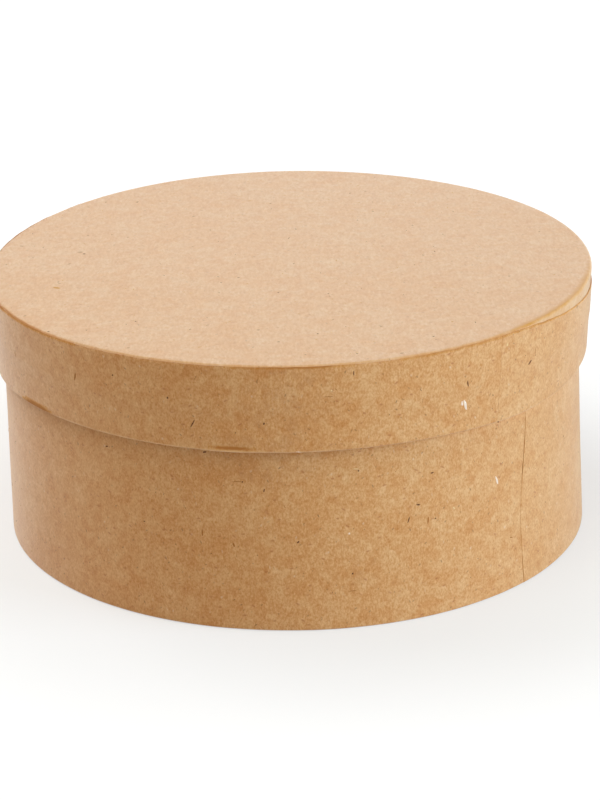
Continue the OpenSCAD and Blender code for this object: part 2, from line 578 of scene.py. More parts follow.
@dataclass(frozen=True)
class KraftFinish:
    """Kraft paper: a mottled ground of short fibres with dark shives and pale flecks.

    Attributes:
        name: The material's name.
        pale: Colour of the paler clouds.
        deep: Colour of the warmer clouds.
        strength: How strong the grain is.
        clouds: How strong the clouds are.
        fibre: Scale across and along the fibres of the fine grain.
        shade: What the colour is multiplied by in the dark of the grain.
        stain_and_shade_colour: Colour where glue or dirt has soaked it, and of the painted shade on the box's wall and
            the lid's rim.
        rubbed_and_highlight: Colour where the paper is worn by rubbing, and of the painted highlight along the lid
            rim's lower fold.
        shive: Colour of its dark specks.
        rust: Colour of its brown specks.
        fleck: Colour of its pale specks.
        fuzz: How much light its standing fibres catch.
        gloss: How much light it mirrors.
        soaks: Whether faces that glue or dirt has soaked take the soaked finish.
    """

    name: str
    pale: str
    deep: str
    strength: float = 1.0
    clouds: float = 1.0
    fibre: tuple[float, float] = (1.0, 0.62)
    shade: str = "#debd7f"
    stain_and_shade_colour: str = "#b8783e"
    rubbed_and_highlight: str = "#ecbd88"
    shive: str = "#744318"
    rust: str = "#b0602a"
    fleck: str = "#efe2cb"
    fuzz: float = 0.45
    gloss: float = 0.35
    soaks: bool = False

    def soaked(self) -> "KraftFinish":
        """The same paper where glue has laid its fibres flat."""
        return replace(self, name=f"{self.name}_soaked", fuzz=0.0, gloss=0.12)

    def material(self) -> bpy.types.Material:
        """Builds the material."""
        r = Recipe(self.name)
        sheet = r.read("sheet", vector=True)
        along = r.stretched(sheet, (*self.fibre, 1.0))
        fine = r.cloud(along, 0.42 * MM, 2.0, 0.4, 0.6)
        grain = r.cloud(along, 1.1 * MM, 2.0, 0.8)
        blotch = r.cloud(sheet, 3.2 * MM, 3.0, 0.6)
        patch = r.cloud(sheet, 12 * MM, 2.0)
        thread = r.cloud(r.stretched(r.turned(sheet, 0.5), (1.0, 0.4, 1.0)), 1.6 * MM, 2.0, 1.6)
        hair = r.between(r.node("ShaderNodeMath", {0: thread}, operation="ABSOLUTE").outputs[0], 0.012, 0.0)
        hazy = r.times(r.sum(r.times(blotch, 1.9), r.times(patch, 1.1), r.times(grain, 0.4)), self.clouds)
        ground = r.mixed(r.sum(hazy, 0.5), linear(self.deep), linear(self.pale))
        tone = r.sum(r.times(fine, 1.75), r.times(grain, 0.85), r.times(blotch, 0.2),
                     r.times(r.times(hair, r.between(grain, 0.0, 0.15)), -0.16))
        shaded = r.mixed(r.sum(r.times(tone, self.strength), 0.5), linear(self.shade), (1.0, 1.0, 1.0, 1.0))
        colour = r.mixed(1.0, ground, shaded, "MULTIPLY")
        for strength, code, size, many, length, angle, width in (
                (0.45, self.shive, 2.1 * MM, 0.24, 1.3, 0.2, 0.10),
                (0.50, self.shive, 3.1 * MM, 0.26, 2.0, 0.9, 0.075),
                (0.55, self.shive, 3.7 * MM, 0.24, 2.6, -0.4, 0.06),
                (0.60, self.rust, 2.6 * MM, 0.28, 1.8, 1.4, 0.12),
                (0.60, self.rust, 3.3 * MM, 0.26, 2.4, -1.0, 0.09),
                (0.30, self.fleck, 4.4 * MM, 0.24, 1.5, 0.5, 0.07),
                (0.22, self.fleck, 3.6 * MM, 0.24, 3.0, -0.2, 0.06)):
            speck = r.specks(sheet, size, many, length, angle, width)
            colour = r.mixed(r.times(speck, strength * self.strength), colour, linear(code))
        worn = r.sum(r.times(r.cloud(sheet, 1.4 * MM, 3.0, 0.5, 0.6), 0.65), r.times(r.cloud(sheet, 4.5 * MM), 0.6))
        # Glue and dirt stains, and painted shade on the box's wall and the lid's rim.
        stain_and_shade = r.between(r.sum(r.read("stain_and_shade"), r.times(worn, 0.9)), 0.25, 0.95)
        colour = r.mixed(stain_and_shade, colour, linear(self.stain_and_shade_colour))
        # Worn paper, and the painted highlight along the lid rim's lower fold.
        rub_and_highlight = r.between(r.sum(r.read("rub_and_highlight"), r.times(worn, 0.8)), 0.25, 0.95)
        colour = r.mixed(rub_and_highlight, colour, linear(self.rubbed_and_highlight))
        r.into("Base Color", colour)
        r.into("Roughness", r.between(grain, -0.3, 0.3, 0.54, 0.68))
        height = r.sum(r.times(fine, 0.5), r.times(grain, 0.6), r.times(blotch, 0.6), r.times(hair, 0.05))
        made = r.node("ShaderNodeBump", {"Height": height, "Distance": 0.06 * MM, "Strength": 0.6})
        r.into("Normal", made.outputs[0])
        r.into("Specular IOR Level", self.gloss)
        r.into("Sheen Weight", self.fuzz)
        r.into("Sheen Roughness", 0.5)
        return r.material


@dataclass(frozen=True)
class BoardFinish:
    """Greyboard: pressed waste paper with flecks of print and fibre in it."""

    name: str = "greyboard_ply"
    pale: str = "#aca294"
    deep: str = "#81796d"

    def material(self) -> bpy.types.Material:
        """Builds the material."""
        r = Recipe(self.name)
        sheet = r.read("sheet", vector=True)
        fine = r.cloud(sheet, 0.5 * MM, 3.0, 0.5, 0.6)
        blotch = r.cloud(sheet, 3 * MM, 2.0)
        share = r.sum(r.times(fine, 1.4), r.times(blotch, 0.9), 0.5)
        colour = r.mixed(share, linear(self.deep), linear(self.pale))
        for code, size, angle in (("#4d4a48", 2.8 * MM, 0.4), ("#c9bfae", 3.3 * MM, 1.3), ("#7b5638", 4.6 * MM, 2.2)):
            colour = r.mixed(r.times(r.specks(sheet, size, 0.4, 2.2, angle, 0.12), 0.6), colour, linear(code))
        r.into("Base Color", colour)
        r.into("Roughness", 0.92)
        made = r.node("ShaderNodeBump", {"Height": r.sum(fine, blotch), "Distance": 0.08 * MM, "Strength": 0.7})
        r.into("Normal", made.outputs[0])
        return r.material


@dataclass(frozen=True)
class FleckFinish:
    """A fibre bundle or a chip that lies in the paper's surface."""

    name: str
    pale: str
    deep: str

    def material(self) -> bpy.types.Material:
        """Builds the material."""
        r = Recipe(self.name)
        place = r.node("ShaderNodeTexCoord").outputs["Object"]
        share = r.sum(r.times(r.cloud(place, 0.3 * MM, 2.0), 2.0), 0.5)
        r.into("Base Color", r.mixed(share, linear(self.deep), linear(self.pale)))
        r.into("Roughness", 0.8)
        r.into("Specular IOR Level", 0.15)
        return r.material


@dataclass
class Workshop:
    """What every piece needs: the sizes, the shapes, the finishes and a way on to its body."""

    sizes: Sizes = field(default_factory=Sizes.read)
    materials: dict[str, bpy.types.Material] = field(default_factory=dict)

    def finish(self, finish: KraftFinish | BoardFinish | FleckFinish) -> bpy.types.Material:
        """The material of a finish, built once."""
        if finish.name not in self.materials:
            self.materials[finish.name] = finish.material()
        return self.materials[finish.name]

    def soak(self, piece: bpy.types.Object, finish: KraftFinish) -> None:
        """Gives the soaked finish to the faces along folds and edges that glue and dirt have soaked.

        Args:
            piece: The piece.
            finish: Its finish.
        """
        mesh = piece.data
        stain_and_shade = np.empty(len(mesh.vertices), np.float32)
        mesh.attributes["stain_and_shade"].data.foreach_get("value", stain_and_shade)
        corners = np.empty(len(mesh.loops), np.int32)
        mesh.loops.foreach_get("vertex_index", corners)
        starts = np.empty(len(mesh.polygons), np.int32)
        mesh.polygons.foreach_get("loop_start", starts)
        soaked = np.maximum.reduceat(stain_and_shade[corners], starts) > 0.5
        if soaked.any():
            mesh.materials.append(self.finish(finish.soaked()))
            mesh.polygons.foreach_set("material_index", soaked.astype(np.int32))

    def fit(self, piece: bpy.types.Object, finish: KraftFinish | BoardFinish | FleckFinish, body: Body,
            slot: Slot, *nodes: str) -> bpy.types.Object:
        """Dresses a piece and puts it on its body.

        Args:
            piece: The piece.
            finish: Its finish.
            body: The body that it rides on.
            slot: The record's material slot; not used.
            *nodes: The plain nodes that it stands for.

        Returns:
            The piece.
        """
        piece.data.materials.append(self.finish(finish))
        if isinstance(finish, KraftFinish) and finish.soaks:
            self.soak(piece, finish)
        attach(piece, body.value)
        if nodes:
            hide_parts(*nodes)
        log.info("%s: %d faces", piece.name, len(piece.data.polygons))
        return piece


WRAP = KraftFinish("kraft_strip", pale="#e8b985", deep="#dea465", soaks=True)
# The top's paper is painted lighter and paler than the strips' paper, a painted highlight for the light and sheen that
# the top catches; the base cover takes the same finish.
TOP_PAINTED_LIGHTER = KraftFinish("kraft_top_painted_lighter", pale="#eac399", deep="#e7b57e", strength=0.6, fibre=(0.7, 0.26), shade="#e2c492",
                  stain_and_shade_colour="#c8833a", rubbed_and_highlight="#d08e2a")
LINING = KraftFinish("kraft_inside", pale="#f0c594", deep="#e6b376", strength=0.8, fibre=(0.7, 1.0))
BOARD = BoardFinish()
SHIVE = FleckFinish("shive", pale="#87583a", deep="#573320")
RUST = FleckFinish("rust_fibre", pale="#bd7d42", deep="#9a5f2c")
AMBER = FleckFinish("amber_fibre", pale="#d9a766", deep="#c48d4a")
CHIP = FleckFinish("pale_chip", pale="#fdead9", deep="#f0ceae")
STRAW = FleckFinish("pale_fibre", pale="#edc997", deep="#e2b880")


def spread(start: float, end: float, step: float, fine: Sequence[float], finest: float) -> np.ndarray:
    """Azimuths from start to end, closer together near some places.

    Args:
        start: First azimuth.
        end: Last azimuth.
        step: Usual spacing.
        fine: Places where the spacing is finest.
        finest: Spacing there.

    Returns:
        The azimuths.
    """
    out = [start]
    while out[-1] < end - finest * 0.5:
        near = min((abs(out[-1] - f) for f in fine), default=1e9)
        out.append(out[-1] + min(step, finest + near * 0.35))
    out[-1] = end
    return np.array(out)


@dataclass
class Strip:
    """A strip of paper glued round a ring, its end lapped over its own start.

    Attributes:
        radius: Radius of the ring.
        seam: Azimuth of the visible cut edge, in degrees.
        lap: Length of the overlap.
        paper: Thickness of the paper.
        step: Spacing of the columns.
        wander: How far the cut edge lies from its azimuth at each height, in metres.
        pressed: How much of the paper's thickness the upper ply still stands off.
    """

    radius: float
    seam: float
    lap: float
    paper: float
    step: float
    wander: Callable[[np.ndarray], np.ndarray]
    pressed: float = 1.0

    def columns(self) -> np.ndarray:
        """The strip's azimuths, from its upper end round to the end that is tucked under."""
        start = math.radians(self.seam)
        lap = self.lap / self.radius
        fine = (start, start + lap, start + TURN)
        return spread(start, start + TURN + lap, self.step / self.radius, fine, 0.08 * MM / self.radius)

    def azimuths(self, section: Section) -> np.ndarray:
        """The azimuth of every vertex, with the cut ends wandering."""
        columns = self.columns()[None, :]
        away = (columns - columns[0, 0]) * self.radius
        cut = self.wander(section.z)[:, None] / self.radius
        near = 1 - smooth(0, 12 * MM, away)
        under = 1 - smooth(0, 12 * MM, np.abs(away - TURN * self.radius))
        return columns + cut * (near + under)

    def over(self, v: dict[str, np.ndarray]) -> np.ndarray:
        """How far the upper ply stands off at each vertex."""
        away = (v["a"] - math.radians(self.seam)) * self.radius - self.wander(v["z"])
        climbing = 1 - smooth(self.lap, self.lap + 2 * MM, away)
        return climbing * (self.paper * self.pressed + 0.01 * MM)

    def from_cut(self, v: dict[str, np.ndarray]) -> np.ndarray:
        """Distance of each vertex from the visible cut edge, along the strip, on its upper ply."""
        return (v["a"] - math.radians(self.seam)) * self.radius - self.wander(v["z"])


def tabs(shells: Shells, face: np.ndarray, paper: float, side: int, count: int, notch: float,
         s0: float, per_tab: int = 12) -> None:
    """Adds the tabs of a notched margin.

    Args:
        shells: What they are added to.
        face: The margin's face, from the tips of the notches to the paper's edge.
        paper: Thickness of the paper.
        side: 1 where the face looks to the left of its path, -1 to the right.
        count: Number of tabs.
        notch: Width of a notch at the paper's edge.
        s0: Length along the sheet at the tips.
        per_tab: Columns in a tab.
    """
    section = Section.of(face, paper, side, s0)
    opening = (section.s - s0) / (section.s.max() - s0) * notch / 2 / section.r
    for i in range(count):
        start, end = (i - 0.5) * TURN / count, (i + 0.5) * TURN / count
        share = np.linspace(0, 1, per_tab + 1)[None, :]
        wide = (end - start) - 2 * opening[:, None]
        shells.strip(section, start + opening[:, None] + share * wide)


@dataclass
class PaperWork:
    """Widths that the paper of both bodies is cut to."""

    hem: float = 10 * MM
    tab: float = 6 * MM
    wide_tab: float = 12 * MM
    tab_count: int = 36
    notch: float = 1.2 * MM
    reveal: float = 2.5 * MM
    lap: float = 10 * MM
    climb: float = 2.5 * MM


@dataclass
class Box:
    """The lower body: board wall and base, its wrap, its linings and the disc under it.

    Attributes:
        seam: Azimuth of the wrap's seam, in degrees.
        lining_seam: Azimuth of the lining's seam.
        butt: Azimuth at which the ends of the wall's board meet.
        seam_wander: How far the cut edge wanders to each side.
        seam_wave: Length of one wave of that edge.
        seam_crest: Height of one of its crests.
        seam_lean: How far the foot of the edge lies from its crest.
    """

    shop: Workshop
    work: PaperWork
    seam: float = 49
    lining_seam: float = 206
    butt: float = 185
    seam_wander: float = 0.9 * MM
    seam_wave: float = 50 * MM
    seam_crest: float = 44 * MM
    seam_lean: float = 2.1 * MM
    edge: float = 0.5 * MM
    step: float = 0.8 * MM

    def __post_init__(self) -> None:
        """Works out the shape that hands gave the wall."""
        s = self.shop.sizes
        self.shape = HandShape(
            radius=s.wall_out + s.paper,
            low=Outline(0.0, 0.0, ((2, -0.09, 0.63),)),
            high=Outline(s.rim_foot, -0.86, ((1, 0.0, -0.31), (3, 0.0, 0.13))))

    def wander(self, z: np.ndarray) -> np.ndarray:
        """How far the wrap's cut edge lies from its azimuth at each height."""
        wave = np.cos(TURN * (z - self.seam_crest) / self.seam_wave) * self.seam_wander
        wave = wave - (1 - np.clip(z / self.seam_crest, 0, 1)) * self.seam_lean
        jitter = np.array([noise.noise(Vector((h / (1.7 * MM), 3.1, 8.2))) for h in z.ravel()]).reshape(z.shape)
        return wave + jitter * 0.14 * MM

    def wall_path(self) -> tuple[np.ndarray, float]:
        """The wrap's face from the tips of its notches to its margin's edge inside."""
        s, w = self.shop.sizes, self.work
        outer, inner, top = s.wall_out + s.paper, s.wall_in - s.paper, s.wall_top + s.paper
        bend = self.edge + s.paper
        tips = outer - 2 * s.paper
        face = run([(tips, s.base_z - s.paper, 0), (outer, s.base_z - s.paper, 0.3 * MM), (outer, top, bend),
                    (inner, top, bend), (inner, top - w.hem, 0)], self.step)
        return face, tips

    def wrap(self) -> Skin:
        """Makes the wall's wrap."""
        s, w = self.shop.sizes, self.work
        face, tips = self.wall_path()
        under = w.wide_tab - 2 * s.paper
        section = Section.of(face, s.paper, -1, under)
        strip = Strip(self.shape.radius, self.seam, w.lap, s.paper, self.step, self.wander, 0.1)
        shells = Shells()
        shells.strip(section, strip.azimuths(section))
        tabs(shells, run([(tips, s.base_z - s.paper, 0), (tips - under, s.base_z - s.paper, 0)], 1.5 * MM),
             s.paper, 1, w.tab_count, w.notch, 0.0)
        top = s.wall_top

        def lift(v: dict[str, np.ndarray]) -> np.ndarray:
            """The upper ply stands off by one paper, pressed flat where the lid seats."""
            on_wall = (v["r"] > s.wall_out - 0.1 * MM) & (v["z"] < top)
            ply = strip.over(v) * np.where(v["r"] < tips - 0.1 * MM, 0, np.where(on_wall, 1.0, 0.4))
            return ply

        def stain_and_shade(v: dict[str, np.ndarray]) -> np.ndarray:
            """Glue and dirt along the cut edge, heavier at its upper end; painted contact shade along the foot;
            painted shade under the lid's rim and lower on the front.
            """
            away = strip.from_cut(v)
            edge = (away > -0.5 * MM) * (away < 3 * MM) * np.exp(-np.abs(away) / (0.24 * MM))
            heavier = 0.84 + 0.16 * smooth(40 * MM, 46 * MM, v["z"])
            on_wall = v["r"] > s.wall_out
            # Painted contact shade along the foot, where the wall meets the floor.
            foot = bump_at(v["z"], 0.3 * MM, 0.35 * MM) * 0.35 * on_wall
            # Painted shade: a shadow under the lid's rim over the front, and a darker, browner patch lower on the
            # front at the right.
            painted_shade_patches = bump_at(degrees_apart(v["a"], -5), 0, 16) * bump_at(v["z"], 43 * MM, 8 * MM) * 0.43
            painted_shade_patches = (painted_shade_patches + bump_at(degrees_apart(v["a"], 12), 0, 7) * bump_at(v["z"], 16 * MM, 8 * MM) * 0.4) * on_wall
            return edge * heavier * (v["z"] > 0.4 * MM) + foot + painted_shade_patches

        skin = Skin(self.shape, 3, ((24 * MM, 0.07 * MM), (7 * MM, 0.025 * MM), (2 * MM, 0.01 * MM)),
                    lift=lift, stain_and_shade=stain_and_shade)
        piece = make_mesh("wall_wrap_paper", shells, skin)
        self.shop.fit(piece, WRAP, Body.BOX, Slot.WRAP, "wall_wrap")
        return skin

    def base_cover(self) -> None:
        """Makes the disc under the base, which steps over the wrap's margin."""
        s, w = self.shop.sizes, self.work
        hem = s.wall_out + s.paper - w.wide_tab
        face = run([(0, s.base_z - s.paper, 0), (hem - w.climb, s.base_z - s.paper, 2 * MM),
                    (hem, s.base_z - 2 * s.paper, 2 * MM), (s.cover_disc, s.base_z - 2 * s.paper, 0)], 1.2 * MM)
        shells = Shells()
        shells.disc(Section.of(face, s.paper, -1), 720, 0.5 * MM)
        skin = Skin(self.shape, 5, (), flat=True)
        self.shop.fit(make_mesh("base_cover_paper", shells, skin), TOP_PAINTED_LIGHTER, Body.BOX, Slot.PANEL, "base_cover")

    def linings(self) -> None:
        """Makes the inner strip and the disc on the floor."""
        s, w = self.shop.sizes, self.work
        corner, over_hem = s.wall_in - s.paper, s.wall_in - 2 * s.paper
        hem_z = s.wall_top + s.paper - w.hem
        floor = s.floor_z + s.paper
        tips = corner - s.paper
        face = run([(tips, floor, 0), (corner, floor, 0.15 * MM), (corner, hem_z - w.climb, 3 * MM),
                    (over_hem, hem_z, 3 * MM), (over_hem, s.lining_top, 0)], 1.0 * MM)
        strip = Strip(corner, self.lining_seam, w.lap, s.paper, 1.0 * MM, lambda z: self.wander(z) * 0.5, 0.8)
        section = Section.of(face, s.paper, 1, w.tab)
        shells = Shells()
        shells.strip(section, strip.azimuths(section))
        tabs(shells, run([(tips, floor, 0), (s.wall_in - w.tab, floor, 0)], 1.5 * MM), s.paper, -1,
             w.tab_count, w.notch, 0.0, 8)

        def stain_and_shade(v: dict[str, np.ndarray]) -> np.ndarray:
            """A glue line along the cut edges."""
            away = strip.from_cut(v)
            edge = (np.abs(away) < 2 * MM) * np.exp(-np.abs(away) / (0.25 * MM)) * 0.7
            return edge + bump_at(v["z"], s.lining_top, 0.3 * MM) * 0.35

        skin = Skin(self.shape, 11, ((20 * MM, 0.05 * MM), (6 * MM, 0.02 * MM)),
                    lift=lambda v: strip.over(v) * (v["r"] > tips + 0.05 * MM) * smooth(floor, floor + 0.6 * MM, v["z"]),
                    stain_and_shade=stain_and_shade)
        self.shop.fit(make_mesh("wall_lining_paper", shells, skin), LINING, Body.BOX, Slot.LINING, "wall_lining")

        hem = s.wall_in - w.tab
        face = run([(0, floor, 0), (hem - w.climb, floor, 3 * MM), (hem, floor + s.paper, 3 * MM),
                    (corner - s.paper, floor + s.paper, 0)], 0.9 * MM)
        shells = Shells()
        shells.disc(Section.of(face, s.paper, 1), 720, 0.5 * MM)
        skin = Skin(self.shape, 13, ((30 * MM, 0.04 * MM),), flat=True,
                    stain_and_shade=lambda v: bump_at(v["r"], corner - s.paper, 0.4 * MM) * 0.4)
        self.shop.fit(make_mesh("floor_lining_paper", shells, skin), LINING, Body.BOX, Slot.LINING, "floor_lining")

    def boards(self) -> None:
        """Makes the rolled wall and the base board again, to the hand-made shape."""
        s = self.shop.sizes
        gap = 0.15 * MM / s.wall_out
        start = math.radians(self.butt)
        face = run([(s.wall_out, s.base_z, 0), (s.wall_out, s.wall_top, self.edge),
                    (s.wall_in, s.wall_top, self.edge), (s.wall_in, s.base_z, 0)], 4 * MM)
        ring(self.shop, "wall_board_ply", face, self.shape, start + gap, start + TURN - gap, Body.BOX, "wall_board")
        panel(self.shop, "base_board_ply", s.wall_in - 0.02 * MM, s.base_z, s.floor_z, 0, self.shape, Body.BOX,
              "base_board")

    def build(self) -> Skin:
        """Makes every piece of the box.

        Returns:
            The skin of the wrap, on which marks are laid.
        """
        skin = self.wrap()
        self.base_cover()
        self.linings()
        self.boards()
        return skin


def ring(shop: Workshop, name: str, face: np.ndarray, shape: HandShape, start: float, end: float, body: Body,
         node: str) -> None:
    """Makes a rolled board between its two butted ends.

    Args:
        shop: The workshop.
        name: The piece's name.
        face: Its closed section, as radius and height.
        shape: The hand-made shape.
        start: Azimuth of the one end.
        end: Azimuth of the other.
        body: The body that it rides on.
        node: The plain node that it stands for.
    """
    n = len(face)
    still = np.zeros(n)
    section = Section(face[:, 0], face[:, 1], still + 1, still, np.arange(n) * MM, still)
    shells = Shells()
    shells.strip(section, np.tile(np.linspace(start, end, 361), (n, 1)))
    piece = make_mesh(name, shells, Skin(shape, 21))
    shop.fit(piece, BOARD, body, Slot.BOARD, node)


def panel(shop: Workshop, name: str, radius: float, low: float, high: float, edge: float, shape: HandShape,
          body: Body, node: str) -> None:
    """Makes a flat round board.

    Args:
        shop: The workshop.
        name: The piece's name.
        radius: Its radius.
        low: Height of its underside.
        high: Height of its top.
        edge: Radius of its upper edge.
        shape: The hand-made shape.
        body: The body that it rides on.
        node: The plain node that it stands for.
    """
    face = run([(0, high, 0), (radius, high, edge), (radius, low, 0), (0, low, 0)], 6 * MM)
    n = len(face)
    still = np.zeros(n)
    section = Section(face[:, 0], face[:, 1], still, still + 1, face[:, 0], still)
    shells = Shells()
    shells.disc(section, 360, 1.2 * MM)
    piece = make_mesh(name, shells, Skin(shape, 23, flat=True))
    shop.fit(piece, BOARD, body, Slot.BOARD, node)


@dataclass
class Lid:
    """The lift-off lid: rim and top board, the cover, the rim's wrap and the linings.

    Attributes:
        seam: Azimuth of the rim's seam, in degrees.
        lining_seam: Azimuth of the lining's seam.
        butt: Azimuth at which the ends of the rim's board meet.
        dip_azimuth: Azimuth at which the rim strip's upper edge runs lowest.
        dip_depth: How far below the top the edge is there.
        dip_slope: Slope at which the edge runs down to it, in degrees.
    """

    shop: Workshop
    work: PaperWork
    seam: float = 40
    lining_seam: float = 246
    butt: float = 160
    dip_azimuth: float = 100
    dip_depth: float = 4.6 * MM
    dip_slope: float = 7.9
    edge: float = 0.5 * MM
    step: float = 0.65 * MM

    def __post_init__(self) -> None:
        """Works out the shape that hands gave the rim."""
        s = self.shop.sizes
        self.shape = HandShape(
            radius=s.rim_out + 2 * s.paper,
            low=Outline(s.rim_foot - s.paper, -0.68, ((1, 0.0, -0.21), (2, 0.12, 0.0), (3, 0.0, 0.14))),
            high=Outline(s.lid_top, 0.12, ((1, 0.0, -0.43), (2, -0.07, 0.27), (3, -0.44, -0.11), (4, -0.04, 0.18))))
        self.top = s.lid_top + s.paper

    def cover(self) -> Skin:
        """Makes the disc on top, with its margin turned down on to the rim."""
        s, w = self.shop.sizes, self.work
        outer = s.rim_out + s.paper
        bend = self.edge + s.paper
        tips = self.top - self.dip_depth
        face = run([(0, self.top, 0), (outer, self.top, bend), (outer, tips, 0)], 0.8 * MM, 9)
        shells = Shells()
        section = Section.of(face, s.paper, 1)
        shells.disc(section, 720, 0.4 * MM)
        tabs(shells, run([(outer, tips, 0), (outer, s.cover_edge, 0)], 1.5 * MM), s.paper, 1, w.tab_count,
             w.notch, float(section.s.max()))

        def stain_and_shade(v: dict[str, np.ndarray]) -> np.ndarray:
            """Glue round the fold, most of it at the left."""
            a = degrees_apart(v["a"], 0)
            on_fold = bump_at(v["z"], self.top - 0.25 * MM, 0.22 * MM) * (v["r"] > outer - 2 * MM)
            left = smooth(-28, -60, a) * 0.95
            right = smooth(4, 30, a) * (1 - smooth(45, 60, a)) * 0.6
            behind = smooth(95, 130, np.abs(a)) * 0.4
            return on_fold * np.maximum.reduce([left, right, behind, 0.16 + 0 * a])

        def rub_and_highlight(v: dict[str, np.ndarray]) -> np.ndarray:
            """Worn, yellowed paper along the fold at the right."""
            a = degrees_apart(v["a"], 0)
            along = smooth(28, 50, a) * (1 - smooth(76, 96, a)) * 0.9
            on_top = bump_at(v["r"], outer - 0.8 * MM, 0.95 * MM)
            return along * on_top * smooth(self.top - 0.8 * MM, self.top - 0.4 * MM, v["z"])

        skin = Skin(self.shape, 31, ((45 * MM, 0.10 * MM), (12 * MM, 0.03 * MM), (3 * MM, 0.008 * MM)),
                    stain_and_shade=stain_and_shade, rub_and_highlight=rub_and_highlight, flat=True)
        self.shop.fit(make_mesh("lid_cover_paper", shells, skin), TOP_PAINTED_LIGHTER, Body.LID, Slot.PANEL, "lid_cover")
        return skin

    def strip_top(self, azimuth: np.ndarray) -> np.ndarray:
        """Height of the rim strip's upper edge: up on the fold, and dipping at the right."""
        away = self.shape.radius * (1 - np.cos(azimuth - math.radians(self.dip_azimuth)))
        cut = self.top - self.dip_depth + math.tan(math.radians(self.dip_slope)) * away
        jitter = np.array([noise.noise(Vector((math.sin(a) * 30, math.cos(a) * 30, 5.5))) for a in azimuth])
        high = self.top - 0.3 * MM
        lower = np.minimum(cut, high)
        soft = -np.log(np.exp(-(cut - high) / (0.25 * MM)) + 1) * 0.25 * MM + high
        return np.where(np.abs(cut - high) < 2 * MM, soft, lower) + jitter * 0.12 * MM

    def crease(self, azimuth: np.ndarray) -> np.ndarray:
        """Height of the crease over the lip that came loose at the rim's lower edge."""
        foot = self.shop.sizes.rim_foot - self.shop.sizes.paper
        wave = np.sin(np.radians(degrees_apart(azimuth, -13)) * 40) * 0.12
        return foot + (0.8 + wave) * MM

    def rim(self) -> Skin:
        """Makes the strip round the rim."""
        s, w = self.shop.sizes, self.work
        outer, over = s.rim_out + s.paper, s.rim_out + 2 * s.paper
        foot, inner = s.rim_foot - s.paper, s.rim_in - s.paper
        high = self.top - 0.3 * MM
        bend = self.edge + 2 * s.paper
        lean = 0.10 * MM
        face = run([(over - lean, high, 0), (over, self.top - bend, 0.5 * MM), (over, s.cover_edge + 1 * MM, 8 * MM),
                    (outer, s.cover_edge - w.climb, 8 * MM), (outer, foot, 0.3 * MM), (inner, foot, 0.3 * MM),
                    (inner, foot + w.hem, 0)], 0.6 * MM)
        section = Section.of(face, s.paper, 1)
        wander = lambda z: np.sin(z / (9 * MM)) * 0.25 * MM
        strip = Strip(self.shape.radius, self.seam, w.lap, s.paper, self.step, wander, 0.12)
        shells = Shells()
        shells.strip(section, strip.azimuths(section))
        waist = s.cover_edge

        def trim(v: dict[str, np.ndarray]) -> np.ndarray:
            """The upper part of the strip is drawn down to its cut edge, and the fold sags at both sides."""
            share = np.clip((v["z"] - waist) / (high - waist), 0, 1)
            drop = (self.strip_top(v["a"]) - high) * share
            sag = bump_at(degrees_apart(v["a"], -82), 0, 18) * 1.4 * MM + bump_at(degrees_apart(v["a"], 50), 0, 19) * 0.85 * MM
            sag = sag * (1 - smooth(foot, waist, v["z"]))
            return v["z"] + np.where(v["r"] > s.rim_in + 0.3 * MM, drop - sag, 0)

        def lift(v: dict[str, np.ndarray]) -> np.ndarray:
            """The upper ply of the lap, and a lip that came loose at the lower edge."""
            outside = v["r"] > s.rim_out - 0.1 * MM
            a = degrees_apart(v["a"], -12)
            lip = bump_at(a, 0, 4.5) * bump_at(v["z"], foot + 0.3 * MM, 0.4 * MM) * 0.26 * MM
            crease = bump_at(a, 0, 4.5) * bump_at(v["z"], self.crease(v["a"]), 0.3 * MM) * -0.18 * MM
            return strip.over(v) * np.where(outside, 1, 0.6) + (lip + crease) * outside

        def stain_and_shade(v: dict[str, np.ndarray]) -> np.ndarray:
            """Brown along the cut upper edge, in two creases over the lower edge, and at the seam, with painted shade
            over the front.
            """
            a = degrees_apart(v["a"], 0)
            below = self.strip_top(v["a"]) - trim(v)
            outside = (v["r"] > s.rim_out - 0.1 * MM) * 1.0
            dip = smooth(44, 52, a) * (1 - smooth(140, 150, a))
            left = smooth(-30, -55, a) + smooth(150, 170, np.abs(a))
            front = bump_at(a, 3, 4) * 0.5
            edge = np.exp(-np.clip(below, 0, 1) / (0.20 * MM)) * np.clip(0.25 + 0.6 * dip + 0.5 * left + front, 0, 1)
            worn = np.exp(-np.clip(below, 0, 1) / (0.7 * MM)) * smooth(6, 28, a) * (1 - smooth(50, 60, a)) * 0.66
            lip = bump_at(degrees_apart(v["a"], -12.3), 0, 3.8) * bump_at(v["z"], self.crease(v["a"]), 0.21 * MM) * 1.2
            low = bump_at(v["z"], foot + 0.45 * MM, 0.6 * MM)
            dark = bump_at(a, -56.5, 5.2) * low * 1.4
            soft = smooth(48, 55, a) * (1 - smooth(64, 74, a)) * bump_at(v["z"], foot + 0.5 * MM, 0.7 * MM) * 0.49
            seam = np.exp(-np.abs(strip.from_cut(v)) / (0.2 * MM)) * 0.4
            # Painted shade: darker, browner patches over the front of the rim and near its lower edge.
            painted_shade_patches = bump_at(a, -1, 15) * (0.38 + 0.06 * smooth(55 * MM, 60 * MM, v["z"]))
            painted_shade_patches = painted_shade_patches + bump_at(a, -15, 9) * bump_at(v["z"], foot + 2.5 * MM, 2.5 * MM) * 0.2
            return outside * (np.maximum(edge, worn) + lip + dark + soft + seam + painted_shade_patches)

        def rub_and_highlight(v: dict[str, np.ndarray]) -> np.ndarray:
            """A pale line along the lower fold at the left and in front, paper worn pale there and a painted highlight
            on the fold, with a little on the loose lip.
            """
            a = degrees_apart(v["a"], 0)
